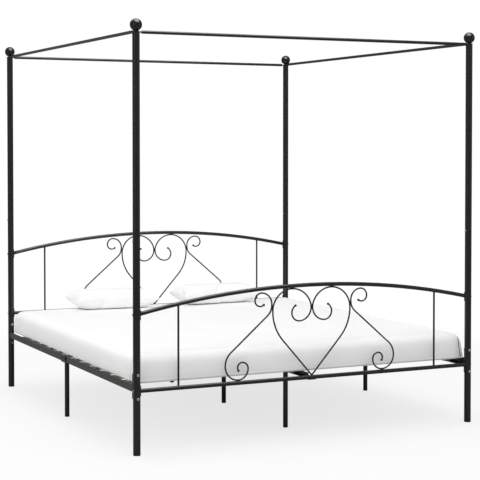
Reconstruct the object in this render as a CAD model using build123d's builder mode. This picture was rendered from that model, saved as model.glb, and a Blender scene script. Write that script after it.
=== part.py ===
"""Four poster canopy bed of black steel tube, with a mattress and two pillows.

The origin is on the ground in the middle of the bed. X runs across the bed, Y from the foot
end to the head end, and Z up. Left is -X, as seen by someone standing at the foot end.
"""

import os
from math import asin, atan2, cos, degrees, hypot, radians, sin, sqrt

from build123d import *

# ------------------------------------------------------------------ driving sizes (mm)
# Overall
post_spacing_x = 1850  # from post axis to post axis, across the bed
post_spacing_y = 2070  # from post axis to post axis, along the bed
rail_bottom = 295  # underside of the side rails above the ground
canopy_height = 1967  # top of the posts, where the canopy rails are clamped

# Posts
post_diameter = 35
post_wall = 1.5
splice_height = 980  # where the upper post slips over the lower one
splice_screw_rise = 20
spigot_length = 60  # length of the reduced end, inside each tube
spigot_clearance = 0.2  # all round, between the spigot and the upper post
post_top_thickness = 5
ball_diameter = 58
collar_diameter = 20
collar_height = 3
stud_diameter = 8
stud_length = 22  # how far the stud goes below the collar

# Canopy rails, round tubes with flattened ends
canopy_tube = 16
canopy_wall = 1.2
tab_thickness = 3
tab_width = 24
tab_overhang = 8  # straight part of the tab beyond the post axis, before its round end
tab_length = 19  # flat part on the inner side of the post axis
taper_length = 12
tab_clearance = 0.2

# Foot and head panels
panel_tube = 20
panel_wall = 1.5
panel_lower_height = 301  # axis of the foot panel's lower tube above the ground
head_panel_raise = 140  # how much higher the same panel sits at the head end
arch_height = 356  # arch axis above the lower tube's axis, at the posts
arch_rise = 101.5  # further rise of the arch axis in the middle
picket_diameter = 10
picket_offset = 714.5
scroll_rod = 8
scroll_ball = 12.5
saddle_thickness = 3
saddle_half_angle = 35
panel_saddle_height = 50
saddle_corner = 9

# Heart lobe radii, all to the axis of the rod
lobe_radius = 107
lobe_side_radius = 215
curl_radius = 66
curl_start = 18.5  # degrees before the twin lobes touch
curl_inner_radius = 41
curl_inner_sweep = 149

# Outer scroll radii, all to the axis of the rod
scroll_shoulder_radius = 65.6
scroll_slope = 49.5  # angle between the straight stretch and the vertical
scroll_hip_radius = 86
scroll_foot_radius = 68.8
scroll_foot_curl = (53, 31, 25)
scroll_foot_last_sweep = 124
scroll_neck = 6.5  # short straight stretch above the point that faces the heart
scroll_head_curl = (55.4, 35.7, 29.2)
scroll_head_last_sweep = 129
scroll_touch_rise = 31  # the shoulder's centre stands this far above the heart lobe's centre

# Side rails, angle section
rail_height = 35
rail_flange = 32
rail_wall = 2.5
rail_outset = 12.5  # outer face of a side rail beyond the post axis
rail_joint_gap = 1
bracket_height = 136
bracket_middle = 25.5  # the bracket's middle above the rail's underside
bracket_bolt_spacing = 111
bracket_web_depth = 14
bracket_web_wall = 2.5
bracket_web_corner = 3

# Legs under the middle of the bed
leg_diameter = 25
leg_wall = 1.5
leg_plate = 3
leg_plate_length = 70
middle_leg_inset = 5  # middle leg axis on the inner side of the post axis
leg_plate_lip = 3  # how far the bracket's floor stands past the inner side of the leg
centre_leg_margin = 247  # outer centre leg's axis to the end of the centre beam
centre_beam_end_gap = 35  # end of the beam to the middle plane of a panel
centre_beam_flange = 50
centre_beam_web = 20.5
beam_hook_width = 40
beam_hook_tongue = 45

# Slats, bowed plywood in plastic caps
slat_count = 12
slat_width = 53
slat_thickness = 8
slat_bow = 8
slat_seat = 8  # underside of a slat's end above the rail's underside
slat_end_margin = 164  # last slat's middle to the end of the centre beam
slat_end_wall = 4
cap_width = 60
cap_height = 21
cap_corner = 3
outer_cap_length = 40
inner_cap_length = 22
cap_clearance = 1

# Fasteners and feet
rail_bolt = 8
rail_bolt_head = 14
rail_bolt_head_height = 4
rail_nut = 13
rail_nut_height = 6.5
panel_bolt = 6
panel_bolt_head = 11
panel_bolt_head_height = 3
panel_bolt_reach = 14  # how far a bolt goes into the tube behind the saddle
leg_bolt = 6
leg_bolt_head = 11
leg_bolt_head_height = 3
leg_bolt_pitch = 44
centre_leg_bolt_offset = 11  # centre leg's bolts beside the beam's web
head_rounding = 0.6  # share of a bolt head's height that its rounded edge takes
foot_flange = 3
foot_plug = 20

# Bedding
mattress_side_gap = 10  # side of the mattress to the post axes
mattress_end_gap = 35  # end of the mattress to the middle plane of a panel
mattress_thickness = 148
mattress_top_radius = 40
mattress_bottom_radius = 25
mattress_corner_radius = 60
bedding_clearance = 0.4
pillow_width = 560
pillow_depth = 310
pillow_thickness = 112
pillow_offset = 328
pillow_edge_radius = 52
pillow_corner_radius = 60
pillow_head_gap = 25  # pillow edge to the middle plane of the head panel

# ------------------------------------------------------------------ worked-out places
post_x = post_spacing_x / 2
post_y = post_spacing_y / 2
post_r = post_diameter / 2
bore_r = post_r - post_wall
saddle_r = post_r + saddle_thickness
tube_r = panel_tube / 2
rod_r = scroll_rod / 2
leg_r = leg_diameter / 2
flange_top = rail_bottom + rail_wall
rail_outer = post_x + rail_outset
rail_inner = rail_outer - rail_wall
leg_top = rail_bottom - leg_plate
slat_bottom = rail_bottom + slat_seat
mattress_bottom = slat_bottom + slat_bow + slat_thickness + bedding_clearance
mattress_top = mattress_bottom + mattress_thickness
splice_screw_height = splice_height + splice_screw_rise
corners = {
    "foot_left": (-1, -1),
    "foot_right": (1, -1),
    "head_left": (-1, 1),
    "head_right": (1, 1),
}

os.makedirs("parts", exist_ok=True)


def save(part, name):
    """Label a finished piece and write it to its own STEP file."""
    part.label = name
    export_step(part, f"parts/{name}.step")


def tube(radius, wall, bottom, height):
    """An upright open tube standing on the height called bottom."""
    with BuildPart() as piece:
        with BuildSketch(Plane.XY.offset(bottom)):
            Circle(radius)
            Circle(radius - wall, mode=Mode.SUBTRACT)
        extrude(amount=height)
    return piece.part


def spread(shape, places):
    """Copies of one shape as separate solids, each moved to its place."""
    return Compound(children=[place * shape for place in places])


# ------------------------------------------------------------------ posts
# The lower post has a reduced spigot pressed into its top. The upper post slips over it.
spigot_r = bore_r - spigot_clearance
spigot_bore = spigot_r - post_wall

with BuildPart() as lower_post:
    with BuildSketch(Plane.XZ):
        with BuildLine():
            Polyline(
                (bore_r, foot_flange),
                (post_r, foot_flange),
                (post_r, splice_height),
                (spigot_r, splice_height),
                (spigot_r, splice_height + spigot_length),
                (spigot_bore, splice_height + spigot_length),
                (spigot_bore, splice_height - spigot_length),
                (bore_r, splice_height - spigot_length),
                close=True,
            )
        make_face()
    revolve(axis=Axis.Z)

with BuildPart() as upper_post:
    with BuildSketch(Plane.XY.offset(splice_height)):
        Circle(post_r)
    extrude(amount=canopy_height - splice_height)
    with BuildSketch(Plane.XY.offset(splice_height)):
        Circle(bore_r)
    extrude(amount=canopy_height - splice_height - post_top_thickness, mode=Mode.SUBTRACT)
    with Locations((0, 0, canopy_height)):
        Hole(stud_diameter / 2, depth=post_top_thickness)
    # Hole for the splice screw, on the -X side only.
    with BuildSketch(Plane.YZ):
        with Locations((0, splice_screw_height)):
            Circle(panel_bolt / 2)
    extrude(amount=-post_r, mode=Mode.SUBTRACT)

with BuildPart() as spigot_hole:
    with BuildSketch(Plane.YZ):
        with Locations((0, splice_screw_height)):
            Circle(panel_bolt / 2)
    extrude(amount=-post_r)

rail_bolt_heights = [
    rail_bottom + bracket_middle + side * bracket_bolt_spacing / 2 for side in (-1, 1)
]
arch_end_height = panel_lower_height + arch_height

for corner, (sx, sy) in corners.items():
    raise_by = head_panel_raise if sy > 0 else 0
    with BuildPart() as drilled_post:
        add(lower_post.part)
        add(spigot_hole.part, mode=Mode.SUBTRACT)
        # Two holes along Y for the side rail's bolts.
        with BuildSketch(Plane.XZ):
            for height in rail_bolt_heights:
                with Locations((0, height)):
                    Circle(rail_bolt / 2)
        extrude(amount=post_r, both=True, mode=Mode.SUBTRACT)
        # Two holes along X for the panel's bolts.
        with BuildSketch(Plane.YZ):
            for height in (panel_lower_height, arch_end_height):
                with Locations((0, height + raise_by)):
                    Circle(panel_bolt / 2)
        extrude(amount=post_r, both=True, mode=Mode.SUBTRACT)
    place = Pos(sx * post_x, sy * post_y, 0)
    save(place * drilled_post.part, f"lower_post_{corner}")
    save(place * upper_post.part, f"upper_post_{corner}")

# ------------------------------------------------------------------ ball finials
# Each ball is turned in one piece with a collar and a stud that clamps the canopy rails.
collar_bottom = canopy_height + 2 * tab_thickness
ball_r = ball_diameter / 2
ball_centre = collar_bottom + ball_r
stud_r = stud_diameter / 2
collar_r = collar_diameter / 2

with BuildPart() as ball_finial:
    with Locations((0, 0, ball_centre)):
        Sphere(ball_r)
    with Locations((0, 0, collar_bottom)):
        Cylinder(collar_r, collar_height, align=(Align.CENTER, Align.CENTER, Align.MIN))
        Cylinder(stud_r, stud_length, align=(Align.CENTER, Align.CENTER, Align.MAX))

for corner, (sx, sy) in corners.items():
    save(Pos(sx * post_x, sy * post_y, 0) * ball_finial.part, f"ball_finial_{corner}")

# ------------------------------------------------------------------ canopy rails


def canopy_rail(span):
    """A round tube along X with a flat, drilled tab at each end, centred on its axis."""
    flat_start = span / 2 - tab_length
    round_start = flat_start - taper_length
    with BuildPart() as rail:
        with BuildSketch(Plane.YZ):
            Circle(canopy_tube / 2)
            Circle(canopy_tube / 2 - canopy_wall, mode=Mode.SUBTRACT)
        extrude(amount=round_start, both=True)
        for side in (-1, 1):
            with BuildSketch(Plane.YZ.offset(side * round_start)):
                Circle(canopy_tube / 2)
            with BuildSketch(Plane.YZ.offset(side * flat_start)):
                SlotOverall(tab_width, tab_thickness)
            loft()
            with BuildSketch(Plane.XY):
                with Locations((side * (flat_start + (tab_length + tab_overhang) / 2), 0)):
                    Rectangle(tab_length + tab_overhang, tab_width)
                with Locations((side * (span / 2 + tab_overhang), 0)):
                    Circle(tab_width / 2)
                with Locations((side * span / 2, 0)):
                    Circle(stud_r + tab_clearance, mode=Mode.SUBTRACT)
            extrude(amount=tab_thickness / 2, both=True)
    return rail.part


cross_rail_height = canopy_height + tab_thickness / 2
side_rail_height = cross_rail_height + tab_thickness
cross_rail = canopy_rail(post_spacing_x)
long_rail = canopy_rail(post_spacing_y)
save(Pos(0, -post_y, cross_rail_height) * cross_rail, "canopy_rail_foot")
save(Pos(0, post_y, cross_rail_height) * cross_rail, "canopy_rail_head")
save(Pos(-post_x, 0, side_rail_height) * Rot(0, 0, 90) * long_rail, "canopy_rail_left")
save(Pos(post_x, 0, side_rail_height) * Rot(0, 0, 90) * long_rail, "canopy_rail_right")

# ------------------------------------------------------------------ foot and head panels
# Both panels are the same weldment. It is made once in the plane y = 0, with the axis of its
# lower tube at z = 0, and then placed at the foot end and, higher, at the head end.
arch_radius = (post_x**2 + arch_rise**2) / (2 * arch_rise)
arch_top = arch_height + arch_rise


def arch_axis(x):
    """Height of the arch's axis above the lower tube's axis, at a distance x from the middle."""
    return arch_top - arch_radius + sqrt(arch_radius**2 - x**2)


def both_posts(radius, height):
    """Two upright cylinders on the post axes, to cut tube ends to the shape of the posts."""
    with BuildPart() as cylinders:
        with Locations((-post_x, 0, 0), (post_x, 0, 0)):
            Cylinder(radius, height)
    return cylinders.part


with BuildLine(Plane.XZ) as arch_line:
    ThreePointArc((-post_x, arch_height), (0, arch_top), (post_x, arch_height))
with BuildLine(Plane.XZ) as lower_line:
    Line((-post_x, 0), (post_x, 0))


def swept_tube(path, outer, inner=0):
    """A round bar or tube along a path."""
    with BuildPart() as swept:
        with BuildSketch(Plane(origin=path @ 0, z_dir=path % 0)):
            Circle(outer)
            if inner:
                Circle(inner, mode=Mode.SUBTRACT)
        sweep(path=path)
    return swept.part


post_cut = both_posts(saddle_r, 4 * arch_top)
arch_solid = swept_tube(arch_line.line, tube_r)
lower_solid = swept_tube(lower_line.line, tube_r)
panel_arch = swept_tube(arch_line.line, tube_r, tube_r - panel_wall) - post_cut
panel_lower = swept_tube(lower_line.line, tube_r, tube_r - panel_wall) - post_cut

with BuildPart() as pickets:
    with Locations((-picket_offset, 0, 0), (picket_offset, 0, 0)):
        Cylinder(
            picket_diameter / 2,
            arch_axis(picket_offset),
            align=(Align.CENTER, Align.CENTER, Align.MIN),
        )
    add(arch_solid, mode=Mode.SUBTRACT)
    add(lower_solid, mode=Mode.SUBTRACT)

# Heart lobe. It touches the arch above, its twin in the middle and the lower tube below.
lobe_x = rod_r + curl_radius + (lobe_radius - curl_radius) * cos(radians(curl_start))
lobe_z = arch_axis(lobe_x) - tube_r - rod_r - lobe_radius
lobe_right = lobe_x + lobe_radius
side_centre_x = lobe_right - lobe_side_radius
tip_z = tube_r
tip_distance = hypot(side_centre_x, lobe_z - tip_z)
tip_lean = degrees(atan2(side_centre_x, lobe_z - tip_z))
tip_slope = tip_lean + degrees(asin(lobe_side_radius / tip_distance))
side_end_x = side_centre_x + lobe_side_radius * cos(radians(tip_slope))
side_end_z = lobe_z - lobe_side_radius * sin(radians(tip_slope))


def arc_on(line, radius, sweep_angle):
    """An arc that carries on smoothly from the end of a line; a positive sweep turns left."""
    return JernArc(start=line @ 1, tangent=line % 1, radius=radius, arc_size=sweep_angle)


with BuildLine(Plane.XZ) as heart_line:
    stem = Line((0, tip_z), (side_end_x, side_end_z))
    flank = arc_on(stem, lobe_side_radius, tip_slope)
    lobe = arc_on(flank, lobe_radius, 180 - curl_start)
    curl = arc_on(lobe, curl_radius, 90 + curl_start)
    heart_end = arc_on(curl, curl_inner_radius, curl_inner_sweep)

with BuildPart() as heart_right:
    add(swept_tube(heart_line.line, rod_r))
    with Locations(heart_line.line @ 1):
        Sphere(scroll_ball / 2)
    add(lower_solid, mode=Mode.SUBTRACT)
    split(bisect_by=Plane.YZ, keep=Keep.TOP)

# Outer scroll. Its shoulder touches the heart, and its foot stands on the lower tube.
shoulder_z = lobe_z + scroll_touch_rise
shoulder_reach = lobe_radius + scroll_shoulder_radius + scroll_rod
shoulder_x = lobe_x + sqrt(shoulder_reach**2 - scroll_touch_rise**2)
scroll_left = shoulder_x - scroll_shoulder_radius
scroll_drop = shoulder_z - tube_r - rod_r - scroll_foot_radius
bend_drop = (scroll_shoulder_radius + scroll_hip_radius) * sin(radians(scroll_slope))
brace_length = (scroll_drop - bend_drop) / cos(radians(scroll_slope))

with BuildLine(Plane.XZ) as scroll_down:
    shoulder = JernArc((scroll_left, shoulder_z), (0, -1), scroll_shoulder_radius, scroll_slope)
    brace = Line(shoulder @ 1, shoulder @ 1 + (shoulder % 1) * brace_length)
    hip = arc_on(brace, scroll_hip_radius, -scroll_slope)
    foot = arc_on(hip, scroll_foot_radius, -90)
    foot_rise = arc_on(foot, scroll_foot_curl[0], -90)
    foot_crown = arc_on(foot_rise, scroll_foot_curl[1], -90)
    foot_end = arc_on(foot_crown, scroll_foot_curl[2], -scroll_foot_last_sweep)

with BuildLine(Plane.XZ) as scroll_up:
    neck = Line((scroll_left, shoulder_z), (scroll_left, shoulder_z + scroll_neck))
    head_rise = arc_on(neck, scroll_head_curl[0], -90)
    head_crown = arc_on(head_rise, scroll_head_curl[1], -90)
    head_end = arc_on(head_crown, scroll_head_curl[2], -scroll_head_last_sweep)

with BuildPart() as scroll_right:
    add(swept_tube(scroll_down.line, rod_r))
    add(swept_tube(scroll_up.line, rod_r))
    with Locations(scroll_down.line @ 1, scroll_up.line @ 1):
        Sphere(scroll_ball / 2)


def saddle(height, middle, bolt_heights, bolt_radius):
    """A curved plate on the +X side of an upright post, with rounded corners and bolt holes."""
    half_width = saddle_r * sin(radians(saddle_half_angle))
    with BuildPart() as plate:
        with BuildSketch(Plane.XY.offset(middle - height / 2)):
            Circle(saddle_r)
            Circle(post_r, mode=Mode.SUBTRACT)
        extrude(amount=height)
        with BuildSketch(Plane.YZ):
            with Locations((0, middle)):
                RectangleRounded(2 * half_width, height, saddle_corner)
        extrude(amount=saddle_r, mode=Mode.INTERSECT)
        with BuildSketch(Plane.YZ):
            for bolt_height in bolt_heights:
                with Locations((0, bolt_height)):
                    Circle(bolt_radius)
        extrude(amount=saddle_r, mode=Mode.SUBTRACT)
    return plate.part


panel_saddle = saddle(panel_saddle_height, 0, [0], panel_bolt / 2)
saddle_places = []
for height in (0, arch_height):
    saddle_places.append(Pos(-post_x, 0, height))
    saddle_places.append(Pos(post_x, 0, height) * Rot(0, 0, 180))

panels = {
    "footboard": Pos(0, -post_y, panel_lower_height),
    "headboard": Pos(0, post_y, panel_lower_height + head_panel_raise),
}
for panel, place in panels.items():
    save(place * panel_arch, f"{panel}_arch")
    save(place * panel_lower, f"{panel}_lower_tube")
    save(place * pickets.part, f"{panel}_pickets")
    save(place * heart_right.part, f"{panel}_heart_right")
    save(place * mirror(heart_right.part, about=Plane.YZ), f"{panel}_heart_left")
    save(place * scroll_right.part, f"{panel}_scroll_right")
    save(place * mirror(scroll_right.part, about=Plane.YZ), f"{panel}_scroll_left")
    save(spread(panel_saddle, [place * at for at in saddle_places]), f"{panel}_end_plates")


# ------------------------------------------------------------------ side rails
# Each side is two lengths of angle that meet at the middle leg. The upright leaf is outside,
# and the flat leaf turns inwards below the slats.
bracket_z = rail_bottom + bracket_middle
leg_bolt_z = (flange_top + rail_bottom + rail_height) / 2


def side_rail(side, end):
    """Half of one side rail: side is -1 on the left, end is -1 for the foot half."""
    start = end * rail_joint_gap / 2
    with BuildPart() as rail:
        with BuildSketch(Plane.XZ.offset(-start)):
            with BuildLine():
                Polyline(
                    (side * rail_outer, rail_bottom),
                    (side * rail_outer, rail_bottom + rail_height),
                    (side * rail_inner, rail_bottom + rail_height),
                    (side * rail_inner, flange_top),
                    (side * (rail_outer - rail_flange), flange_top),
                    (side * (rail_outer - rail_flange), rail_bottom),
                    close=True,
                )
            make_face()
        extrude(amount=-end * (post_y - saddle_r - rail_joint_gap / 2))
        # Holes for the middle leg's bolts.
        with BuildSketch(Plane.YZ.offset(side * rail_outer)):
            with Locations((end * leg_bolt_pitch / 2, leg_bolt_z)):
                Circle(leg_bolt / 2)
        extrude(amount=-side * rail_wall, mode=Mode.SUBTRACT)
    return rail.part


for side_name, side in (("left", -1), ("right", 1)):
    for end_name, end in (("foot", -1), ("head", 1)):
        save(side_rail(side, end), f"side_rail_{side_name}_{end_name}")

# A bracket is a curved plate with an upright web that the rail's inner face is welded to.
bracket_saddle = saddle(bracket_height, bracket_z, rail_bolt_heights, rail_bolt / 2)
web_start = post_r
web_end = saddle_r + bracket_web_depth


def rail_end_bracket(side, end):
    """The bracket on one post: the curved plate faces the middle of the bed along Y."""
    place = Pos(side * post_x, end * post_y, 0) * Rot(0, 0, -90 * end)
    web_x = side * (rail_inner - bracket_web_wall / 2)
    with BuildPart() as bracket:
        add(place * bracket_saddle)
        with BuildSketch(Plane.YZ.offset(web_x)):
            with Locations((end * (post_y - (web_start + web_end) / 2), bracket_z)):
                RectangleRounded(web_end - web_start, bracket_height - 2 * saddle_corner, bracket_web_corner)
        extrude(amount=bracket_web_wall / 2, both=True)
        with Locations((side * post_x, end * post_y, bracket_z)):
            Cylinder(post_r, bracket_height, mode=Mode.SUBTRACT)
        # The rail's flat leaf passes under the web's lower half through a notch.
        with BuildSketch(Plane.XZ.offset(-end * (post_y - saddle_r))):
            with Locations((web_x, (rail_bottom + flange_top) / 2)):
                Rectangle(bracket_web_wall, rail_wall)
        extrude(amount=end * bracket_web_depth, mode=Mode.SUBTRACT)
    return bracket.part


brackets = [rail_end_bracket(sx, sy) for sx, sy in corners.values()]
save(Compound(children=brackets), "rail_end_brackets")

# ------------------------------------------------------------------ legs
# A middle leg carries a saddle bracket that hooks over the joint of the two rail halves.
bracket_outer = rail_outer + leg_plate
rail_top = rail_bottom + rail_height
middle_leg_x = post_x - middle_leg_inset
plate_inner = middle_leg_x - leg_r - leg_plate_lip


def middle_leg(side):
    """A leg under the middle of one side: side is -1 on the left."""
    with BuildPart() as leg:
        add(Pos(side * middle_leg_x, 0, 0) * tube(leg_r, leg_wall, foot_flange, leg_top - foot_flange))
        with BuildSketch(Plane.XZ):
            with BuildLine():
                Polyline(
                    (side * plate_inner, leg_top),
                    (side * bracket_outer, leg_top),
                    (side * bracket_outer, rail_top + leg_plate),
                    (side * rail_inner, rail_top + leg_plate),
                    (side * rail_inner, rail_top),
                    (side * rail_outer, rail_top),
                    (side * rail_outer, rail_bottom),
                    (side * plate_inner, rail_bottom),
                    close=True,
                )
            make_face()
        extrude(amount=leg_plate_length / 2, both=True)
        with BuildSketch(Plane.YZ.offset(side * bracket_outer)):
            with GridLocations(leg_bolt_pitch, 1, 2, 1):
                with Locations((0, leg_bolt_z)):
                    Circle(leg_bolt / 2)
        extrude(amount=-side * leg_plate, mode=Mode.SUBTRACT)
    return leg.part


save(middle_leg(-1), "middle_leg_left")
save(middle_leg(1), "middle_leg_right")

with BuildPart() as centre_leg:
    add(tube(leg_r, leg_wall, foot_flange, leg_top - foot_flange))
    with BuildSketch(Plane.XY.offset(leg_top)):
        Rectangle(centre_beam_flange, leg_plate_length)
        with GridLocations(0, leg_bolt_pitch, 1, 2):
            with Locations((centre_leg_bolt_offset, 0)):
                Circle(leg_bolt / 2, mode=Mode.SUBTRACT)
    extrude(amount=leg_plate)

centre_beam_length = post_spacing_y - 2 * centre_beam_end_gap
outer_leg_y = centre_beam_length / 2 - centre_leg_margin
centre_leg_places = {"foot": -outer_leg_y, "middle": 0, "head": outer_leg_y}
for leg_name, leg_y in centre_leg_places.items():
    save(Pos(0, leg_y, 0) * centre_leg.part, f"centre_leg_{leg_name}")

# ------------------------------------------------------------------ centre beam
# An upside-down T section. The slats of both rows end at its web.
web_r = rail_wall / 2

with BuildPart() as centre_beam:
    with BuildSketch(Plane.XZ):
        with Locations((0, rail_bottom + rail_wall / 2)):
            Rectangle(centre_beam_flange, rail_wall)
        with Locations((0, flange_top + centre_beam_web / 2)):
            Rectangle(rail_wall, centre_beam_web)
    extrude(amount=centre_beam_length / 2, both=True)
    with BuildSketch(Plane.XY.offset(rail_bottom)):
        for leg_y in centre_leg_places.values():
            with GridLocations(0, leg_bolt_pitch, 1, 2):
                with Locations((centre_leg_bolt_offset, leg_y)):
                    Circle(leg_bolt / 2)
    extrude(amount=rail_wall, mode=Mode.SUBTRACT)
save(centre_beam.part, "centre_beam")

# The foot end rests in a strap bent under the foot panel's lower tube. The head end hangs
# from the head panel's lower tube on a longer strap.
strap_r = tube_r + leg_plate
tongue_end = centre_beam_length / 2 - beam_hook_tongue
head_tube_height = panel_lower_height + head_panel_raise

with BuildPart() as beam_hook_foot:
    with BuildSketch(Plane.YZ):
        with Locations((-post_y, panel_lower_height)):
            Circle(strap_r)
        with Locations((-post_y, panel_lower_height + strap_r / 2)):
            Rectangle(2 * strap_r, strap_r, mode=Mode.SUBTRACT)
        with Locations(((-post_y + tube_r / 2 - tongue_end) / 2, leg_top + leg_plate / 2)):
            Rectangle(post_y - tube_r / 2 - tongue_end, leg_plate)
        with Locations((-post_y, panel_lower_height)):
            Circle(tube_r, mode=Mode.SUBTRACT)
    extrude(amount=beam_hook_width / 2, both=True)
save(beam_hook_foot.part, "beam_hook_foot")

with BuildPart() as beam_hook_head:
    with BuildSketch(Plane.YZ):
        with Locations((post_y, head_tube_height)):
            Circle(strap_r)
        with Locations((post_y, head_tube_height + strap_r / 2)):
            Rectangle(2 * strap_r, strap_r, mode=Mode.SUBTRACT)
        with Locations((post_y - strap_r + leg_plate / 2, (head_tube_height + leg_top) / 2)):
            Rectangle(leg_plate, head_tube_height - leg_top)
        with Locations(((post_y - tube_r + tongue_end) / 2, leg_top + leg_plate / 2)):
            Rectangle(post_y - tube_r - tongue_end, leg_plate)
        with Locations((post_y, head_tube_height)):
            Circle(tube_r, mode=Mode.SUBTRACT)
    extrude(amount=beam_hook_width / 2, both=True)
save(beam_hook_head.part, "beam_hook_head")

# ------------------------------------------------------------------ slats and their caps
# Two rows of bowed slats. Each end sits in a plastic cap: the outer caps stand on the side
# rails' flat leaves, and the inner ones on the centre beam's flange.
outer_cap_end = rail_inner - cap_clearance
slat_outer_end = outer_cap_end - slat_end_wall
slat_inner_end = web_r + slat_end_wall
slat_middle = (slat_outer_end + slat_inner_end) / 2
slat_pitch = (centre_beam_length - 2 * slat_end_margin) / (slat_count - 1)
slat_rows = [(row - (slat_count - 1) / 2) * slat_pitch for row in range(slat_count)]

with BuildPart() as slat_right:
    with BuildSketch(Plane.XZ):
        with BuildLine():
            under = ThreePointArc(
                (slat_inner_end, slat_bottom),
                (slat_middle, slat_bottom + slat_bow),
                (slat_outer_end, slat_bottom),
            )
            outer_edge = Line(under @ 1, (slat_outer_end, slat_bottom + slat_thickness))
            over = ThreePointArc(
                outer_edge @ 1,
                (slat_middle, slat_bottom + slat_bow + slat_thickness),
                (slat_inner_end, slat_bottom + slat_thickness),
            )
            Line(over @ 1, under @ 0)
        make_face()
    extrude(amount=slat_width / 2, both=True)


def slat_cap(near, far):
    """A plastic cap between two distances from the middle of the bed, with the slat's slot."""
    with BuildPart() as cap:
        with BuildSketch(Plane.XY.offset(flange_top)):
            with Locations(((near + far) / 2, 0)):
                RectangleRounded(far - near, cap_width, cap_corner)
        extrude(amount=cap_height)
        add(slat_right.part, mode=Mode.SUBTRACT)
    return cap.part


outer_cap = slat_cap(outer_cap_end - outer_cap_length, outer_cap_end)
inner_cap = slat_cap(web_r, web_r + inner_cap_length)
right_rows = [Pos(0, y, 0) for y in slat_rows]
turned = Rot(0, 0, 180)
left_rows = [Pos(0, y, 0) * turned for y in slat_rows]
save(spread(slat_right.part, right_rows), "slats_right")
save(spread(slat_right.part, left_rows), "slats_left")
save(spread(outer_cap, right_rows + left_rows), "slat_caps_outer")
save(spread(inner_cap, right_rows + left_rows), "slat_caps_inner")

# ------------------------------------------------------------------ feet
# Plastic plugs pushed into the tubes, each with a flange that stands on the ground.


def foot(radius, wall):
    """A tube end plug with a flange as wide as the tube."""
    with BuildPart() as plug:
        Cylinder(radius, foot_flange, align=(Align.CENTER, Align.CENTER, Align.MIN))
        with Locations((0, 0, foot_flange)):
            Cylinder(radius - wall, foot_plug, align=(Align.CENTER, Align.CENTER, Align.MIN))
        fillet(plug.edges().group_by(Axis.Z)[0], foot_flange / 2)
    return plug.part


post_places = [Pos(sx * post_x, sy * post_y, 0) for sx, sy in corners.values()]
leg_places = [Pos(-middle_leg_x, 0, 0), Pos(middle_leg_x, 0, 0)]
leg_places += [Pos(0, leg_y, 0) for leg_y in centre_leg_places.values()]
save(spread(foot(post_r, post_wall), post_places), "post_foot_caps")
save(spread(foot(leg_r, leg_wall), leg_places), "leg_foot_caps")

# ------------------------------------------------------------------ fasteners


def bolt(shank, head, head_height, length):
    """A button-head bolt along X: the head is on the -X side, with its underside at x = 0."""
    with BuildPart() as screw:
        with Locations(Plane.YZ):
            Cylinder(shank / 2, length, align=(Align.CENTER, Align.CENTER, Align.MIN))
            Cylinder(head / 2, head_height, align=(Align.CENTER, Align.CENTER, Align.MAX))
        fillet(screw.edges().group_by(Axis.X)[0], head_rounding * head_height)
    return screw.part


# Side rail bolts go right through a post along Y, with the nut on the bracket.
rail_bolt_grip = 2 * post_r + saddle_thickness
rail_bolt_part = bolt(
    rail_bolt, rail_bolt_head, rail_bolt_head_height, rail_bolt_grip + rail_nut_height
)
with BuildPart() as nut:
    with BuildSketch(Plane.YZ.offset(rail_bolt_grip)):
        RegularPolygon(rail_nut / 2, 6, major_radius=False, rotation=30)
        Circle(rail_bolt / 2, mode=Mode.SUBTRACT)
    extrude(amount=rail_nut_height)

bolt_places = []
for sx, sy in corners.values():
    for height in rail_bolt_heights:
        outside = Pos(sx * post_x, sy * (post_y + post_r), height)
        bolt_places.append(outside * Rot(0, 0, -90 * sy))
save(spread(rail_bolt_part, bolt_places), "rail_bolts")
save(spread(nut.part, bolt_places), "rail_nuts")

# Panel bolts go in from the outer face of a post along X, through the plate into the tube.
panel_bolt_part = bolt(
    panel_bolt, panel_bolt_head, panel_bolt_head_height, 2 * post_r + saddle_thickness
)


def panel_bolt_places(height):
    """Places at one height above the lower tube's axis, on all four posts."""
    places = []
    for sx, sy in corners.values():
        raise_by = head_panel_raise if sy > 0 else 0
        outside = Pos(sx * (post_x + post_r), sy * post_y, panel_lower_height + height + raise_by)
        places.append(outside * Rot(0, 0, 0 if sx < 0 else 180))
    return places


save(spread(panel_bolt_part, panel_bolt_places(0)), "panel_bolts")
save(spread(panel_bolt_part, panel_bolt_places(arch_height)), "arch_bolts")

# Splice screws, on the -X side of each post, into the spigot.
splice_screw = bolt(
    panel_bolt, panel_bolt_head, panel_bolt_head_height, post_wall + spigot_clearance + post_wall
)
splice_places = [at * Pos(-post_r, 0, splice_screw_height) for at in post_places]
save(spread(splice_screw, splice_places), "splice_screws")

# Leg bolts hold the rail halves in the middle legs' brackets, and the centre legs' plates.
leg_bolt_part = bolt(leg_bolt, leg_bolt_head, leg_bolt_head_height, leg_plate + rail_wall)
leg_bolt_places = []
for step in (-leg_bolt_pitch / 2, leg_bolt_pitch / 2):
    leg_bolt_places.append(Pos(-bracket_outer, step, leg_bolt_z))
    leg_bolt_places.append(Pos(bracket_outer, step, leg_bolt_z) * Rot(0, 0, 180))
    for leg_y in centre_leg_places.values():
        leg_bolt_places.append(Pos(centre_leg_bolt_offset, leg_y + step, leg_top) * Rot(0, -90, 0))
save(spread(leg_bolt_part, leg_bolt_places), "leg_bolts")

# ------------------------------------------------------------------ bedding
mattress_width = post_spacing_x - 2 * mattress_side_gap
mattress_length = post_spacing_y - 2 * mattress_end_gap

with BuildPart() as mattress:
    with BuildSketch(Plane.XY.offset(mattress_bottom)):
        RectangleRounded(mattress_width, mattress_length, mattress_corner_radius)
    extrude(amount=mattress_thickness)
    fillet(mattress.faces().sort_by(Axis.Z)[-1].edges(), mattress_top_radius)
    fillet(mattress.faces().sort_by(Axis.Z)[0].edges(), mattress_bottom_radius)
save(mattress.part, "mattress")

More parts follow.
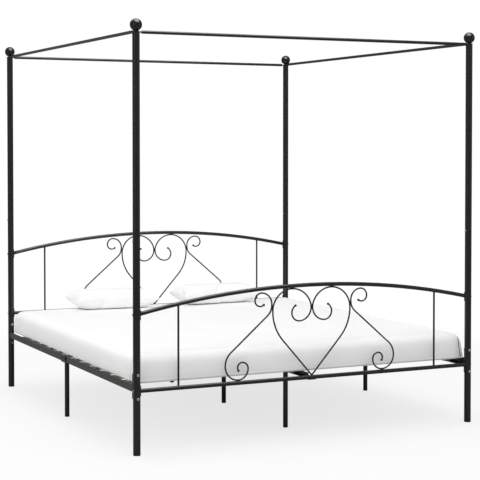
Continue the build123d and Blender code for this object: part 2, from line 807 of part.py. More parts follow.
pillow_y = post_y - pillow_head_gap - pillow_depth / 2
with BuildPart() as pillow:
    with BuildSketch(Plane.XY.offset(mattress_top + bedding_clearance)):
        RectangleRounded(pillow_width, pillow_depth, pillow_corner_radius)
    extrude(amount=pillow_thickness)
    fillet(pillow.faces().sort_by(Axis.Z)[-1].edges(), pillow_edge_radius)
    fillet(pillow.faces().sort_by(Axis.Z)[0].edges(), pillow_edge_radius)
save(Pos(-pillow_offset, pillow_y, 0) * pillow.part, "pillow_left")
save(Pos(pillow_offset, pillow_y, 0) * pillow.part, "pillow_right")
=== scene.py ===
"""The looks of a four poster canopy bed: gloss black steel tube, plywood slats and white bedding."""

import math

import bpy
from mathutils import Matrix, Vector, noise


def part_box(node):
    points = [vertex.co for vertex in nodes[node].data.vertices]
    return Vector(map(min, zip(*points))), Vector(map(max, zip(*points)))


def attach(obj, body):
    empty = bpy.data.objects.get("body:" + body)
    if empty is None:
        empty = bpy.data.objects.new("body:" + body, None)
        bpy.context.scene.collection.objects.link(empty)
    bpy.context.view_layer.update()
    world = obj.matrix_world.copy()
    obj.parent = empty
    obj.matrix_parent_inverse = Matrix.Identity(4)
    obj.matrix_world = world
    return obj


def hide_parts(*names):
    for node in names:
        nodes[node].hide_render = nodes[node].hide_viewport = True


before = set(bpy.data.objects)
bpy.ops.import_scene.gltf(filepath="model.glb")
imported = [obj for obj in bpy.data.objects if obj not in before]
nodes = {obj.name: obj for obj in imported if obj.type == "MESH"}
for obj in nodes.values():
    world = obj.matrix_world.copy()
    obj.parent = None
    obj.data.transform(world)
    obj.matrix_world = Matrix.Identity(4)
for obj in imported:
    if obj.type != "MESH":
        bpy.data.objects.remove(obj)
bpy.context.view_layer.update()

# ---------------------------------------------------------------- powder-coated steel
# Posts, rails, panels, legs and brackets are welded from mild steel tube, rod and plate, then
# sprayed with black polyester powder and baked. The coat flows out to a deep gloss with the
# faint ripple that painters call orange peel.
MM = 0.001


def linear(colour):
    """An sRGB hex colour such as "#1A1A1A" as linear light, with full alpha."""
    shares = [int(colour[at : at + 2], 16) / 255 for at in (1, 3, 5)]
    return [s / 12.92 if s <= 0.04045 else ((s + 0.055) / 1.055) ** 2.4 for s in shares] + [1.0]


def add_node(material, kind, settings=None, links=None):
    """Adds a shader node. Settings name an input or a property; links name an input's source."""
    node = material.node_tree.nodes.new(kind)
    settings = settings or {}
    properties = [name for name in settings if hasattr(node, str(name))]
    # Properties come first, because some of them change which inputs the node has.
    for name in properties:
        setattr(node, name, settings[name])
    for name, value in settings.items():
        if name not in properties:
            node.inputs[name].default_value = value
    for name, source in (links or {}).items():
        material.node_tree.links.new(source, node.inputs[name])
    return node


def new_material(name):
    """An empty node material with this name."""
    material = bpy.data.materials.new(name)
    material.use_nodes = True
    material.node_tree.nodes.clear()
    return material


def cover(part, material):
    """Gives a piece this material in place of any that it has."""
    part.data.materials.clear()
    part.data.materials.append(material)


def powder_coat(name, colour, thin_colour, roughness):
    """Gloss polyester powder coat: near-black, in patches, with a fine orange peel."""
    patch_size = 90 * MM  # where the powder lies thicker or thinner
    peel_size = 2.5 * MM
    material = new_material(name)
    place = add_node(material, "ShaderNodeTexCoord").outputs["Object"]
    patches = add_node(
        material, "ShaderNodeTexNoise", {"Scale": 1 / patch_size, "Detail": 3.0}, {"Vector": place}
    )
    tint = add_node(
        material,
        "ShaderNodeMix",
        {"data_type": "RGBA", 6: linear(colour), 7: linear(thin_colour)},
        {0: patches.outputs["Fac"]},
    )
    gloss = add_node(
        material,
        "ShaderNodeMapRange",
        {"To Min": roughness - 0.05, "To Max": roughness + 0.07},
        {"Value": patches.outputs["Fac"]},
    )
    peel = add_node(
        material, "ShaderNodeTexNoise", {"Scale": 1 / peel_size, "Detail": 1.0}, {"Vector": place}
    )
    bump = add_node(
        material,
        "ShaderNodeBump",
        {"Strength": 0.25, "Distance": 0.04 * MM},
        {"Height": peel.outputs["Fac"]},
    )
    shader = add_node(
        material,
        "ShaderNodeBsdfPrincipled",
        {"IOR": 1.5, "Coat Weight": 0.1, "Coat Roughness": 0.1},
        {
            "Base Color": tint.outputs[2],
            "Roughness": gloss.outputs["Result"],
            "Normal": bump.outputs["Normal"],
        },
    )
    add_node(material, "ShaderNodeOutputMaterial", {}, {"Surface": shader.outputs["BSDF"]})
    return material


tube_coat = powder_coat("gloss_black_powder_coat", "#0B0B0C", "#151516", 0.3)
ball_coat = powder_coat("polished_black_powder_coat", "#0A0A0B", "#101011", 0.2)

zinc_nodes = ("rail_bolts", "rail_nuts", "panel_bolts", "splice_screws")
cap_nodes = ("slat_caps_outer", "slat_caps_inner")
foot_nodes = ("post_foot_caps", "leg_foot_caps")
wood_nodes = ("slats_left", "slats_right")
soft_nodes = ("mattress", "pillow_left", "pillow_right")
other_nodes = zinc_nodes + cap_nodes + foot_nodes + wood_nodes + soft_nodes
for name, part in nodes.items():
    if name not in other_nodes:
        cover(part, ball_coat if name.startswith("ball_finial") else tube_coat)

# ---------------------------------------------------------------- bolts, nuts and screws
# Button-head bolts and nuts of steel, plated with bright zinc. The plating is thin and shows
# the turned metal, with a slightly blue and uneven shine.
zinc = new_material("bright_zinc_plate")
bloom_size = 4 * MM  # cloudy patches in the plating
turning_size = 0.6 * MM  # marks that the lathe left under it
place = add_node(zinc, "ShaderNodeTexCoord").outputs["Object"]
cloud = add_node(zinc, "ShaderNodeTexNoise", {"Scale": 1 / bloom_size, "Detail": 4.0}, {"Vector": place})
tint = add_node(
    zinc,
    "ShaderNodeMix",
    {"data_type": "RGBA", 6: linear("#AEB2B6"), 7: linear("#C9C8C2")},
    {0: cloud.outputs["Fac"]},
)
gloss = add_node(
    zinc, "ShaderNodeMapRange", {"To Min": 0.22, "To Max": 0.4}, {"Value": cloud.outputs["Fac"]}
)
marks = add_node(zinc, "ShaderNodeTexNoise", {"Scale": 1 / turning_size}, {"Vector": place})
bump = add_node(
    zinc, "ShaderNodeBump", {"Strength": 0.2, "Distance": 0.02 * MM}, {"Height": marks.outputs["Fac"]}
)
shader = add_node(
    zinc,
    "ShaderNodeBsdfPrincipled",
    {"Metallic": 1.0},
    {
        "Base Color": tint.outputs[2],
        "Roughness": gloss.outputs["Result"],
        "Normal": bump.outputs["Normal"],
    },
)
add_node(zinc, "ShaderNodeOutputMaterial", {}, {"Surface": shader.outputs["BSDF"]})
for name in zinc_nodes:
    cover(nodes[name], zinc)

# ---------------------------------------------------------------- slats
# Bent strips of birch plywood, five plies of 1.6 mm, clear-lacquered. The face veneer's grain
# runs along each slat, and the cut edges show the plies as alternate light and dark lines.
birch = new_material("lacquered_birch_plywood")
slat_low, slat_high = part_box("slats_right")
slat_half = (slat_high.x - slat_low.x) / 2
slat_middle = (slat_high.x + slat_low.x) / 2
ply = 1.6 * MM
slat_thickness = 5 * ply
slat_bow = slat_high.z - slat_low.z - slat_thickness
grain_width = 3 * MM
figure_width = 22 * MM
along_grain = 0.05  # the grain is drawn out to twenty times its width along the slat
place = add_node(birch, "ShaderNodeTexCoord").outputs["Object"]
grain_place = add_node(birch, "ShaderNodeMapping", {"Scale": (along_grain, 1, 1)}, {"Vector": place})
grain = add_node(
    birch,
    "ShaderNodeTexNoise",
    {"Scale": 1 / grain_width, "Detail": 5.0, "Distortion": 0.4},
    {"Vector": grain_place.outputs["Vector"]},
)
figure = add_node(
    birch,
    "ShaderNodeTexNoise",
    {"Scale": 1 / figure_width, "Detail": 2.0},
    {"Vector": grain_place.outputs["Vector"]},
)
face_colour = add_node(
    birch,
    "ShaderNodeMix",
    {"data_type": "RGBA", 6: linear("#D2B384"), 7: linear("#E6D0A6")},
    {0: grain.outputs["Fac"]},
)
face_figure = add_node(
    birch,
    "ShaderNodeMix",
    {"data_type": "RGBA", "blend_type": "MULTIPLY", 0: 0.35, 7: linear("#D8BE93")},
    {6: face_colour.outputs[2]},
)
# Height above the bowed underside, counted in pairs of a light and a dark ply.
axes = add_node(birch, "ShaderNodeSeparateXYZ", {}, {"Vector": place})
out = add_node(birch, "ShaderNodeMath", {"operation": "ABSOLUTE"}, {0: axes.outputs["X"]})
from_middle = add_node(
    birch, "ShaderNodeMath", {"operation": "SUBTRACT", 1: slat_middle}, {0: out.outputs[0]}
)
share = add_node(
    birch, "ShaderNodeMath", {"operation": "DIVIDE", 1: slat_half}, {0: from_middle.outputs[0]}
)
squared = add_node(birch, "ShaderNodeMath", {"operation": "POWER", 1: 2.0}, {0: share.outputs[0]})
level = add_node(
    birch,
    "ShaderNodeMath",
    {"operation": "MULTIPLY_ADD", 1: slat_bow},
    {0: squared.outputs[0], 2: axes.outputs["Z"]},
)
plies = add_node(
    birch,
    "ShaderNodeMath",
    {"operation": "MULTIPLY_ADD", 1: 1 / (2 * ply), 2: -(slat_low.z + slat_bow) / (2 * ply)},
    {0: level.outputs[0]},
)
layer = add_node(birch, "ShaderNodeMath", {"operation": "FRACT"}, {0: plies.outputs[0]})
dark_ply = add_node(
    birch, "ShaderNodeMath", {"operation": "GREATER_THAN", 1: 0.5}, {0: layer.outputs[0]}
)
edge_colour = add_node(
    birch,
    "ShaderNodeMix",
    {"data_type": "RGBA", 6: linear("#DDC398"), 7: linear("#A9834F")},
    {0: dark_ply.outputs[0]},
)
# A slat's cut edges are its two long ones, which face along the bed.
normal = add_node(birch, "ShaderNodeNewGeometry").outputs["True Normal"]
facing = add_node(birch, "ShaderNodeSeparateXYZ", {}, {"Vector": normal})
sideways = add_node(birch, "ShaderNodeMath", {"operation": "ABSOLUTE"}, {0: facing.outputs["Y"]})
is_edge = add_node(
    birch, "ShaderNodeMath", {"operation": "GREATER_THAN", 1: 0.7}, {0: sideways.outputs[0]}
)
colour = add_node(
    birch,
    "ShaderNodeMix",
    {"data_type": "RGBA"},
    {0: is_edge.outputs[0], 6: face_figure.outputs[2], 7: edge_colour.outputs[2]},
)
bump = add_node(
    birch, "ShaderNodeBump", {"Strength": 0.3, "Distance": 0.1 * MM}, {"Height": grain.outputs["Fac"]}
)
shader = add_node(
    birch,
    "ShaderNodeBsdfPrincipled",
    {"Roughness": 0.42, "IOR": 1.5, "Coat Weight": 0.2, "Coat Roughness": 0.3},
    {"Base Color": colour.outputs[2], "Normal": bump.outputs["Normal"]},
)
add_node(birch, "ShaderNodeOutputMaterial", {}, {"Surface": shader.outputs["BSDF"]})
for name in wood_nodes:
    cover(nodes[name], birch)

# ---------------------------------------------------------------- slat caps and feet
# Moulded polypropylene with the fine spark-eroded grain of the mould. The caps that hold the
# slats' ends are light grey, and the plugs in the feet are black.


def moulded_polypropylene(name, colour, pale_colour):
    """Matt moulded plastic with a fine grain, in faint clouds of a paler colour."""
    grain_size = 0.8 * MM
    cloud_size = 15 * MM
    material = new_material(name)
    place = add_node(material, "ShaderNodeTexCoord").outputs["Object"]
    grain = add_node(material, "ShaderNodeTexVoronoi", {"Scale": 1 / grain_size}, {"Vector": place})
    cloud = add_node(
        material, "ShaderNodeTexNoise", {"Scale": 1 / cloud_size, "Detail": 2.0}, {"Vector": place}
    )
    tint = add_node(
        material,
        "ShaderNodeMix",
        {"data_type": "RGBA", 6: linear(colour), 7: linear(pale_colour)},
        {0: cloud.outputs["Fac"]},
    )
    gloss = add_node(
        material, "ShaderNodeMapRange", {"To Min": 0.45, "To Max": 0.6}, {"Value": cloud.outputs["Fac"]}
    )
    bump = add_node(
        material,
        "ShaderNodeBump",
        {"Strength": 0.35, "Distance": 0.06 * MM},
        {"Height": grain.outputs["Distance"]},
    )
    shader = add_node(
        material,
        "ShaderNodeBsdfPrincipled",
        {"IOR": 1.49},
        {
            "Base Color": tint.outputs[2],
            "Roughness": gloss.outputs["Result"],
            "Normal": bump.outputs["Normal"],
        },
    )
    add_node(material, "ShaderNodeOutputMaterial", {}, {"Surface": shader.outputs["BSDF"]})
    return material


cap_plastic = moulded_polypropylene("moulded_grey_polypropylene", "#969692", "#A3A39E")
foot_plastic = moulded_polypropylene("moulded_black_polypropylene", "#121213", "#1C1C1D")
for name in cap_nodes + foot_nodes:
    cover(nodes[name], cap_plastic if name in cap_nodes else foot_plastic)

# ---------------------------------------------------------------- mattress
# A foam core in a smooth white knitted cover, sewn from a top, a bottom and four side panels.
# The core holds it flat on the slats, and its soft edge swells between the corner seams.
knit = new_material("white_knitted_cotton")
knit_pitch = 4 * MM  # wales are 1.3 mm apart on a real cover, which is too fine to show
knit_tone_patch_size = 250 * MM  # patches where the white is a little greyer, at random
band_spacing = 0.314  # between the bands of a wave texture at scale 1, in metres
place = add_node(knit, "ShaderNodeTexCoord").outputs["Object"]
wales = add_node(
    knit,
    "ShaderNodeTexWave",
    {
        "bands_direction": "DIAGONAL",
        "Scale": band_spacing / knit_pitch,
        "Distortion": 1.5,
        "Detail": 2.0,
    },
    {"Vector": place},
)
stitches = add_node(knit, "ShaderNodeTexVoronoi", {"Scale": 1 / knit_pitch}, {"Vector": place})
cloud = add_node(knit, "ShaderNodeTexNoise", {"Scale": 1 / knit_tone_patch_size, "Detail": 3.0}, {"Vector": place})
tint = add_node(
    knit,
    "ShaderNodeMix",
    {"data_type": "RGBA", 6: linear("#F0F0F0"), 7: linear("#F8F8F7")},
    {0: cloud.outputs["Fac"]},
)
height = add_node(
    knit,
    "ShaderNodeMath",
    {"operation": "MULTIPLY_ADD", 1: 0.5},
    {0: wales.outputs["Fac"], 2: stitches.outputs["Distance"]},
)
bump = add_node(
    knit, "ShaderNodeBump", {"Strength": 0.15, "Distance": 0.3 * MM}, {"Height": height.outputs[0]}
)
shader = add_node(
    knit,
    "ShaderNodeBsdfPrincipled",
    {"Roughness": 0.85, "Sheen Weight": 0.15, "Sheen Roughness": 0.5},
    {"Base Color": tint.outputs[2], "Normal": bump.outputs["Normal"]},
)
add_node(knit, "ShaderNodeOutputMaterial", {}, {"Surface": shader.outputs["BSDF"]})


def at_origin(piece):
    """Moves a piece's place, turn and size into its mesh."""
    bpy.ops.object.select_all(action="DESELECT")
    piece.select_set(True)
    bpy.context.view_layer.objects.active = piece
    bpy.ops.object.transform_apply(location=True, rotation=True, scale=True)


def on_axis(axis, amount):
    """A vector that runs along one axis only."""
    vector = Vector((0, 0, 0))
    vector[axis] = amount
    return vector


def cut_at(axis, places):
    """Cuts the whole piece in edit mode, with a plane across the axis at each place."""
    for place in places:
        bpy.ops.mesh.select_all(action="SELECT")
        bpy.ops.mesh.bisect(plane_co=on_axis(axis, place), plane_no=on_axis(axis, 1))


def cut_evenly(start, end, pitch, axis):
    """Cuts the whole piece in edit mode with planes across one axis, about one pitch apart."""
    steps = max(1, round((end - start) / pitch))
    cut_at(axis, [start + (end - start) * step / steps for step in range(1, steps)])


def inflate(piece, pressure, frames, stretch, cap):
    """Blows the piece up as cloth with no gravity, and lets no point move further than the cap."""
    start = [v.co.copy() for v in piece.data.vertices]
    bpy.context.view_layer.objects.active = piece
    cloth = piece.modifiers.new("cloth", "CLOTH")
    cloth.settings.use_pressure = True
    cloth.settings.uniform_pressure_force = pressure
    cloth.settings.effector_weights.gravity = 0
    cloth.settings.tension_stiffness = stretch
    cloth.settings.compression_stiffness = stretch
    cloth.settings.bending_stiffness = 0.5  # supple enough to fold at the corners
    cloth.point_cache.frame_end = frames
    for step in range(1, frames + 1):
        bpy.context.scene.frame_set(step)
    bpy.ops.object.modifier_apply(modifier="cloth")
    bpy.context.scene.frame_set(1)
    for vertex, was in zip(piece.data.vertices, start):
        move = vertex.co - was
        if move.length > cap:
            vertex.co = was + move * (cap / move.length)


def fit_box(piece, low, high):
    """Stretches the piece so that it fills a box exactly, axis by axis."""
    for axis in range(3):
        places = [v.co[axis] for v in piece.data.vertices]
        first, last = min(places), max(places)
        grow = (high[axis] - low[axis]) / (last - first)
        for vertex in piece.data.vertices:
            vertex.co[axis] = low[axis] + (vertex.co[axis] - first) * grow


def beyond(distance, limit):
    """How far a distance from the middle goes past a limit."""
    return max(abs(distance) - limit, 0.0)


low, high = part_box("mattress")
swell = 6 * MM  # room that the inflated cover is given to swell in
edge_round = 52 * MM  # how far the upper edge's curve reaches in, seen from above
lower_edge_round = 12 * MM  # the same for the lower edge
top_round = 62 * MM  # height of the rounded upper edge
bottom_round = 28 * MM  # height of the rounded lower edge
corner_power = 4.0  # the upright corners are tighter than the edges
grid = 25 * MM
middle = (low + high) / 2
half = (high - low) / 2 - Vector((swell, swell, swell))
bpy.ops.object.select_all(action="DESELECT")
bpy.ops.mesh.primitive_cube_add(size=1, location=middle)
mattress = bpy.context.active_object
mattress.name = "mattress_cover"
mattress.scale = half * 2
at_origin(mattress)
bpy.ops.object.mode_set(mode="EDIT")
curve_cuts = (0.12, 0.34, 0.62, 1.0)  # shares of a rounded edge's width, closest where it is sharpest
for axis in (0, 1):
    inner = half[axis] - edge_round
    cut_evenly(middle[axis] - inner, middle[axis] + inner, grid, axis)
    for share in curve_cuts:
        reach = half[axis] - share * edge_round
        cut_at(axis, (middle[axis] - reach, middle[axis] + reach))
cut_at(2, [middle.z + half.z - share * top_round for share in curve_cuts])
cut_at(2, [middle.z - half.z + share * bottom_round for share in (0.16, 0.5, 1.0)])
cut_at(2, [middle.z - half.z + bottom_round + 18 * MM])
bpy.ops.object.mode_set(mode="OBJECT")
# Points near the edges are drawn in, which rounds the box off, tighter below than above.
for vertex in mattress.data.vertices:
    place = vertex.co - middle
    share = (place.z + half.z) / (2 * half.z)
    reach = lower_edge_round + (edge_round - lower_edge_round) * share
    across = [beyond(place[axis], half[axis] - reach) / reach for axis in (0, 1)]
    height = top_round if place.z > 0 else bottom_round
    up = beyond(place.z, half.z - height) / height
    around = (across[0] ** corner_power + across[1] ** corner_power) ** (1 / corner_power)
    length = math.hypot(around, up)
    if length == 0:
        continue
    for axis in (0, 1):
        moved = across[axis] * (1 - 1 / length) * reach
        vertex.co[axis] -= math.copysign(moved, place[axis])
    vertex.co.z -= math.copysign(up * (1 - 1 / length) * height, place.z)
inflate(mattress, pressure=4.0, frames=20, stretch=15.0, cap=swell)
rounding = mattress.modifiers.new("rounding", "SUBSURF")
rounding.levels = rounding.render_levels = 1
bpy.ops.object.modifier_apply(modifier="rounding")
# The sides bulge a little past the foam, almost to the rails.
side_bulge = Vector((6 * MM, 0, 0))
fit_box(mattress, low - side_bulge, high + side_bulge)
low, high = low - side_bulge, high + side_bulge

# The cover's upright seams. On the left they lie on the long sides, and on the right they come
# round to the short ones. Each one pulls the cover in, and the cloth puckers beside it.
seam_depth = 8 * MM
seam_half_width = 4.5 * MM
pucker_reach = 22 * MM
pucker_pull = 3.5 * MM  # how far the cloth beside a seam is drawn in
pucker_ripple = 1.6 * MM  # depth of the small folds in it
pucker_width, pucker_height = 14 * MM, 11 * MM  # their size along the face and up it
seam_fade = 14 * MM  # a groove runs out over this height past its seam's ends
seam_bottom = low.z + 18 * MM
seam_top = high.z - 22 * MM
seams = {  # name: axis that the face looks along, its side, seam's place along the face
    "foot_left": (0, -1, low.y + 66 * MM),
    "head_left": (0, -1, high.y - 66 * MM),
    "foot_right": (1, -1, high.x - 19 * MM),
    "head_right": (1, 1, high.x - 19 * MM),
}
seam_lean = 14 * MM  # the seam bows sideways by this much on its way down


def seam_line(place, height):
    """Where a seam stands along its face, at a height between its ends."""
    share = (height - seam_bottom) / (seam_top - seam_bottom)
    return place + seam_lean * (0.5 - share) * 0.6 + seam_lean * 0.5 * (2 * share - 1) ** 2


for face_axis, side, place in seams.values():
    along = 1 - face_axis
    outer = high[face_axis] if side > 0 else low[face_axis]
    bpy.ops.object.mode_set(mode="EDIT")
    bpy.ops.mesh.select_mode(type="FACE")
    for offset in (-20, -14, -10, -7, -4, -2, 0, 2, 4, 7, 10, 14, 20):  # mm from the seam
        bpy.ops.mesh.select_all(action="DESELECT")
        bpy.ops.object.mode_set(mode="OBJECT")
        for face in mattress.data.polygons:
            near_face = abs(face.center[face_axis] - outer) < edge_round
            face.select = near_face and abs(face.center[along] - place) < 2 * grid
        bpy.ops.object.mode_set(mode="EDIT")
        point = on_axis(along, place + offset * MM)
        bpy.ops.mesh.bisect(plane_co=point, plane_no=on_axis(along, 1))
    bpy.ops.object.mode_set(mode="OBJECT")
    for vertex in mattress.data.vertices:
        away = vertex.co[along] - place
        if abs(vertex.co[face_axis] - outer) > edge_round or abs(away) > 3 * pucker_reach:
            continue
        height = min(max(vertex.co.z, seam_bottom), seam_top)
        fade = max(0.0, 1 - abs(vertex.co.z - height) / seam_fade)
        near = math.exp(-((away / pucker_reach) ** 2))
        groove = seam_depth * math.exp(-((away / seam_half_width) ** 2))
        ripple = noise.noise(Vector((away / pucker_width, vertex.co.z / pucker_height, place * 9)))
        pull = (pucker_pull + pucker_ripple * ripple) * near
        vertex.co[face_axis] -= side * fade * (groove + pull)
        vertex.co[along] += (seam_line(place, height) - place) * near
# Soft waves where the knit lies loosely on the foam. They leave the underside flat.
wave_depth = 3 * MM
wave_size = 260 * MM
underside = -0.8  # share of the half height below which nothing moves
for vertex in mattress.data.vertices:
    wave = 0.5 + 0.5 * noise.noise(vertex.co / wave_size)
    out = [(vertex.co[axis] - middle[axis]) / half[axis] for axis in range(3)]
    if out[2] > underside:
        for axis in range(3):
            near_face = math.copysign(abs(out[axis]) ** 9, out[axis])
            vertex.co[axis] -= wave_depth * wave * near_face
mattress.data.update()
bpy.context.view_layer.update()

# Each seam has a thread lying in its groove. Its dark grey is painted shade, standing in for the shadow
# in the groove.
painted_seam_shade = new_material("grey_thread_painted_seam_shade")
stitch_pitch = 3 * MM
place = add_node(painted_seam_shade, "ShaderNodeTexCoord").outputs["Object"]
twist = add_node(
    painted_seam_shade,
    "ShaderNodeTexWave",
    {"bands_direction": "Z", "Scale": band_spacing / stitch_pitch, "Distortion": 0.5},
    {"Vector": place},
)
# Painted shade: the thread's dark grey stands in for the shadow in the seam's groove.
tint = add_node(
    painted_seam_shade,
    "ShaderNodeMix",
    {"data_type": "RGBA", 6: linear("#5E5E5E"), 7: linear("#7C7C7B")},
    {0: twist.outputs["Fac"]},
)
bump = add_node(
    painted_seam_shade, "ShaderNodeBump", {"Strength": 0.5, "Distance": 0.4 * MM}, {"Height": twist.outputs["Fac"]}
)
shader = add_node(
    painted_seam_shade,
    "ShaderNodeBsdfPrincipled",
    {"Roughness": 0.8, "Sheen Weight": 0.1},
    {"Base Color": tint.outputs[2], "Normal": bump.outputs["Normal"]},
)
add_node(painted_seam_shade, "ShaderNodeOutputMaterial", {}, {"Surface": shader.outputs["BSDF"]})
thread_radius = 2.4 * MM
clear_of_face = 100 * MM  # a ray starts this far outside the face that it strikes
for name, (face_axis, side, place) in seams.items():
    along = 1 - face_axis
    centre = on_axis(2, (seam_top + seam_bottom) / 2)
    centre[face_axis] = high[face_axis] if side > 0 else low[face_axis]
    centre[along] = place
    bpy.ops.object.select_all(action="DESELECT")
    bpy.ops.mesh.primitive_cylinder_add(
        vertices=8, radius=thread_radius, depth=seam_top - seam_bottom, location=centre
    )
    seam = bpy.context.active_object
    seam.name = f"corner_seam_{name}"
    at_origin(seam)
    bpy.ops.object.mode_set(mode="EDIT")
    bpy.ops.mesh.select_mode(type="VERT")
    cut_evenly(seam_bottom, seam_top, 6 * MM, 2)
    bpy.ops.object.mode_set(mode="OBJECT")
    for vertex in seam.data.vertices:
        lean = seam_line(place, vertex.co.z) - place
        start = on_axis(2, vertex.co.z)
        start[face_axis] = centre[face_axis] + side * clear_of_face
        start[along] = place + lean
        struck, where, _, _ = mattress.ray_cast(start, on_axis(face_axis, -side))
        if struck:
            vertex.co[face_axis] += where[face_axis] - centre[face_axis]
        vertex.co[along] += lean
    bpy.ops.object.shade_smooth()
    seam.data.materials.append(painted_seam_shade)
    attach(seam, "mattress_body")

bpy.ops.object.select_all(action="DESELECT")
bpy.context.view_layer.objects.active = mattress
mattress.select_set(True)
bpy.ops.object.shade_smooth()
mattress.data.materials.append(knit)
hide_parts("mattress")
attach(mattress, "mattress_body")

# ---------------------------------------------------------------- pillows
# Two plain white cotton cases, each sewn on three sides round a loose filling. The filling
# makes them thick in the middle, and the case is pinched flat at its four pointed corners.
cotton = new_material("white_woven_cotton")
thread_pitch = 2 * MM  # threads are 0.4 mm apart on a real case, which is too fine to show
cotton_tone_patch_size = 60 * MM
place = add_node(cotton, "ShaderNodeTexCoord").outputs["Object"]
# The white varies at random in patches of this size, a little greyer in some.
cloud = add_node(
    cotton, "ShaderNodeTexNoise", {"Scale": 1 / cotton_tone_patch_size, "Detail": 4.0}, {"Vector": place}
)
tint = add_node(
    cotton,
    "ShaderNodeMix",
    {"data_type": "RGBA", 6: linear("#F3F3F3"), 7: linear("#FAFAF9")},
    {0: cloud.outputs["Fac"]},
)
weave = add_node(cotton, "ShaderNodeTexVoronoi", {"Scale": 1 / thread_pitch}, {"Vector": place})
bump = add_node(
    cotton,
    "ShaderNodeBump",
    {"Strength": 0.15, "Distance": 0.2 * MM},
    {"Height": weave.outputs["Distance"]},
)
shader = add_node(
    cotton,
    "ShaderNodeBsdfPrincipled",
    {"Roughness": 0.8, "Sheen Weight": 0.2, "Sheen Roughness": 0.4},
    {"Base Color": tint.outputs[2], "Normal": bump.outputs["Normal"]},
)
add_node(cotton, "ShaderNodeOutputMaterial", {}, {"Surface": shader.outputs["BSDF"]})

pillow_skew = {"left": -0.12, "right": 0.04}  # how far a pillow's long edges run off square
pillow_spare = {"left": (8, 50), "right": (26, 8)}  # mm that each end stays inside its space
pillow_back_spare = 10 * MM  # the same at the long edge next to the headboard
pillow_grid = 14 * MM
case_share = (1.03, 1.08)  # width and depth of the flat case, as shares of the filled one's
case_gap = 8 * MM  # between the two faces of the flat case
lump_depth, lump_size, small_lump_size = 4 * MM, 70 * MM, 25 * MM
fill_reach = 62 * MM  # the filling lifts no point of the case further than this
tip_height = 58 * MM  # seam of the case above the mattress
underside_fullness = 1.12  # above 1, the underside flattens against the mattress
for side in ("left", "right"):
    low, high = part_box(f"pillow_{side}")
    size = high - low
    middle = (low + high) / 2
    bpy.ops.object.select_all(action="DESELECT")
    bpy.ops.mesh.primitive_cube_add(size=1, location=middle)
    pillow = bpy.context.active_object
    pillow.name = f"pillow_case_{side}"
    pillow.scale = (size.x * case_share[0], size.y * case_share[1], case_gap)
    at_origin(pillow)
    bpy.ops.object.mode_set(mode="EDIT")
    for axis in (0, 1):
        reach = size[axis] * case_share[axis] / 2
        cut_evenly(middle[axis] - reach, middle[axis] + reach, pillow_grid, axis)
    cut_at(2, [middle.z])
    bpy.ops.object.mode_set(mode="OBJECT")
    # The filling lies unevenly, so each case starts with shallow lumps of its own.
    for vertex in pillow.data.vertices:
        lump = noise.noise(vertex.co / lump_size) + 0.5 * noise.noise(vertex.co / small_lump_size)
        vertex.co.z += lump * lump_depth
    frames = 40
    inflate(pillow, pressure=9.0, frames=frames, stretch=12.0, cap=fill_reach)
    for vertex in pillow.data.vertices:
        vertex.co.y += pillow_skew[side] * (vertex.co.x - middle.x)
    left_spare, right_spare = [gap * MM for gap in pillow_spare[side]]
    near_corner = low + Vector((left_spare, 0, 0))
    far_corner = high - Vector((right_spare, pillow_back_spare, 0))
    fit_box(pillow, near_corner, far_corner)
    # The lower side sinks into its own filling and lies flat on the mattress.
    for vertex in pillow.data.vertices:
        share = (vertex.co.z - middle.z) / (size.z / 2)
        if share > 0:
            vertex.co.z = low.z + tip_height + share * (size.z - tip_height)
        else:
            vertex.co.z = max(low.z + tip_height * (1 + underside_fullness * share), low.z)
    smoothing = pillow.modifiers.new("smoothing", "SUBSURF")
    smoothing.levels = smoothing.render_levels = 1
    bpy.ops.object.modifier_apply(modifier="smoothing")
    bpy.ops.object.shade_smooth()
    pillow.data.materials.append(cotton)
    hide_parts(f"pillow_{side}")
    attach(pillow, f"pillow_{side}_body")

# ---------------------------------------------------------------- floor, lights and camera
# A white studio: a pale floor under a ceiling soft box, with broad soft boxes at the left and in
# front. A strip at each side draws the long highlights on the round tubes, and a sheet of light
# overhead shows only in the gloss.
floor_paint = new_material("pale_floor")
glow_towards_camera = 0.74  # share of the floor's look that is its own even glow
place = add_node(floor_paint, "ShaderNodeTexCoord").outputs["Object"]
cloud = add_node(
    floor_paint, "ShaderNodeTexNoise", {"Scale": 2.0, "Detail": 2.0}, {"Vector": place}
)
tint = add_node(
    floor_paint,
    "ShaderNodeMix",
    {"data_type": "RGBA", 6: linear("#EFEFEF"), 7: linear("#F1F1F1")},
    {0: cloud.outputs["Fac"]},
)
seen = add_node(floor_paint, "ShaderNodeLightPath").outputs["Is Camera Ray"]
bounce = add_node(
    floor_paint,
    "ShaderNodeMix",
    {"data_type": "RGBA", 6: linear("#A2A2A2")},
    {0: seen, 7: tint.outputs[2]},
)
paint = add_node(
    floor_paint,
    "ShaderNodeBsdfPrincipled",
    {"Roughness": 0.95, "Specular IOR Level": 0.0},
    {"Base Color": bounce.outputs[2]},
)
# The floor fades into the white room 2.0 to 4.5 m from the middle of the bed.
away = add_node(floor_paint, "ShaderNodeVectorMath", {"operation": "LENGTH"}, {0: place})
fade = add_node(
    floor_paint,
    "ShaderNodeMapRange",
    {"interpolation_type": "SMOOTHSTEP", "From Min": 2.0, "From Max": 4.5},
    {"Value": away.outputs["Value"]},
)
clear = add_node(floor_paint, "ShaderNodeBsdfTransparent")
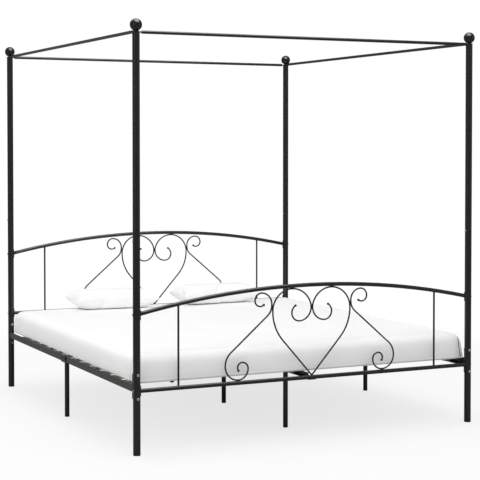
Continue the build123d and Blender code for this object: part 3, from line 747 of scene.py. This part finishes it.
# The floor glows softly towards the camera, so that it stays pale under the bed, and takes
# only the room's own light where it shines back on the tubes.
glow = add_node(floor_paint, "ShaderNodeEmission", {"Strength": 1.0})
glow_share = add_node(
    floor_paint, "ShaderNodeMapRange", {"To Max": glow_towards_camera}, {"Value": seen}
)
lit_paint = add_node(
    floor_paint,
    "ShaderNodeMixShader",
    {},
    {0: glow_share.outputs["Result"], 1: paint.outputs["BSDF"], 2: glow.outputs["Emission"]},
)
shader = add_node(
    floor_paint,
    "ShaderNodeMixShader",
    {},
    {0: fade.outputs["Result"], 1: lit_paint.outputs["Shader"], 2: clear.outputs["BSDF"]},
)
add_node(floor_paint, "ShaderNodeOutputMaterial", {}, {"Surface": shader.outputs["Shader"]})
bpy.ops.mesh.primitive_plane_add(size=20, location=(0, 0, -0.5 * MM))
floor = bpy.context.active_object
floor.name = "studio_floor"
floor.data.materials.append(floor_paint)


def soft_box(name, place, aim, size, watts):
    """An area light at a place, turned towards a point. Its size is its width and height in m."""
    lamp = bpy.data.lights.new(name, "AREA")
    lamp.shape = "RECTANGLE"
    lamp.size, lamp.size_y = size
    lamp.energy = watts
    lit = bpy.data.objects.new(name, lamp)
    lit.location = place
    lit.rotation_euler = (Vector(aim) - Vector(place)).to_track_quat("-Z", "Y").to_euler()
    bpy.context.scene.collection.objects.link(lit)
    return lit


bed_low, bed_middle, bed_high = (0, 0, 0.5), (0, 0, 1.0), (0, 0, 1.2)
soft_box("ceiling_light", (-0.6, 0.6, 5.0), (0, 0.1, 0.4), size=(4.0, 4.0), watts=58)
soft_box("front_window", (-0.2, -2.6, 4.4), bed_middle, size=(1.4, 1.0), watts=22)
soft_box("left_strip", (-4.5, -2.5, 2.2), bed_high, size=(0.15, 3.0), watts=8)
soft_box("right_strip", (4.0, -4.5, 2.2), bed_high, size=(0.15, 3.0), watts=8)
# The two broad ones light the bedding, but are kept out of the black gloss.
side_light = soft_box("left_wall", (-5.0, 0.5, 1.8), bed_low, size=(4.0, 3.0), watts=42)
side_light.visible_glossy = False
front_light = soft_box("front_wall", (-1.0, -6.5, 1.6), bed_low, size=(4.0, 3.0), watts=34)
front_light.visible_glossy = False
sheen_light = soft_box("overhead_sheen", (0.0, -1.5, 6.0), (0, 0, 1.5), size=(5.0, 5.0), watts=420)
sheen_light.visible_diffuse = False

world = bpy.data.worlds.new("studio")
world.use_nodes = True
backdrop = world.node_tree.nodes["Background"]
backdrop.inputs["Color"].default_value = (1, 1, 1, 1)
room_light = 0.75  # what the white room adds to the soft boxes
room_shine = 0.3  # how bright the room looks in the gloss of the tubes
room_seen = 1.02  # how bright it looks behind the bed
path = add_node(world, "ShaderNodeLightPath")
unseen = add_node(
    world, "ShaderNodeMix", {2: room_light, 3: room_shine}, {0: path.outputs["Is Glossy Ray"]}
)
brightness = add_node(
    world,
    "ShaderNodeMix",
    {3: room_seen},
    {0: path.outputs["Is Camera Ray"], 2: unseen.outputs["Result"]},
)
world.node_tree.links.new(brightness.outputs["Result"], backdrop.inputs["Strength"])
bpy.context.scene.world = world

# The camera stands off to the left of the foot end, at three quarters of the posts' height. It
# is almost level, so that the posts stay upright, and the shift brings the feet into view.
look_down, look_right = math.radians(1.701), math.radians(25.493)
lens = bpy.data.cameras.new("camera")
lens.sensor_width = 36
lens.lens = 104.4
lens.shift_y = -0.11
camera = bpy.data.objects.new("camera", lens)
camera.location = (-3.2657, -7.0605, 1.4421)
camera.rotation_euler = (math.radians(90) - look_down, 0, -look_right)
bpy.context.scene.collection.objects.link(camera)
bpy.context.scene.camera = camera
bpy.context.scene.view_settings.view_transform = "Standard"
